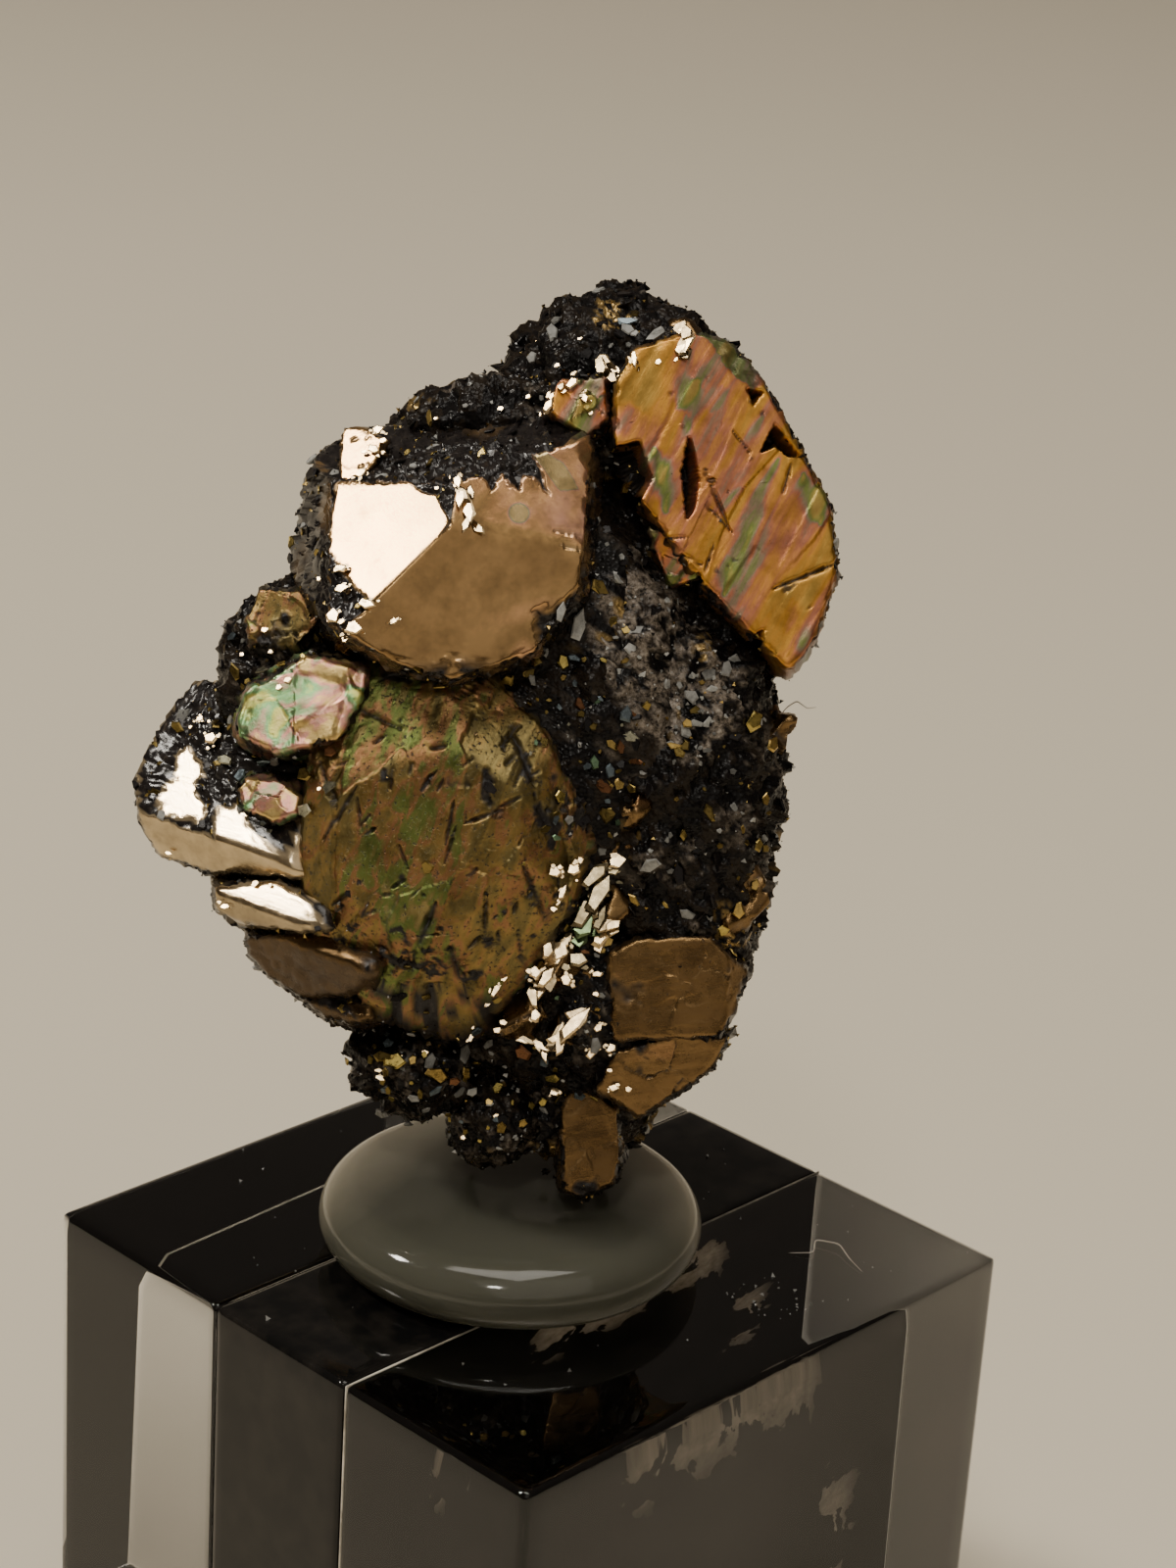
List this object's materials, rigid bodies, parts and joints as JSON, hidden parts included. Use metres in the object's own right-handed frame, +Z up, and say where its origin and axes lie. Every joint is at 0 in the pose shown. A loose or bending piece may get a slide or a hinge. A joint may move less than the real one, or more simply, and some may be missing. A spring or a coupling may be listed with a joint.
{
  "type": "mineral specimen on a block stand",
  "caption": "Tarnished pyrite crystals grown together with black hematite, held upright on the tip by a round gel pad on a square block of clear and black acrylic sheet",
  "frame": {"origin": "centre of the block's underside, which is also the bottom centre of the whole object's box", "axes": "+Z up along the object's height; +X along the length of the three bonded sheets; +Y across them, away from the show side's clear sheet"},
  "size_m": [0.028, 0.028, 0.0667],
  "materials": {
    "pyrite_hematite": "metallic gold and bronze faces with orange, pink and green tarnish, crumbly black hematite between them",
    "gel": "milky, translucent and glossy",
    "clear_acrylic": "clear and polished",
    "black_acrylic": "black and polished"
  },
  "bodies": {
    "root": {"pyrite_hematite_specimen": "pyrite_hematite", "gel_pad": "gel", "clear_slab_front": "clear_acrylic", "black_slab_middle": "black_acrylic", "clear_slab_back": "clear_acrylic"}
  },
  "joints": []
}
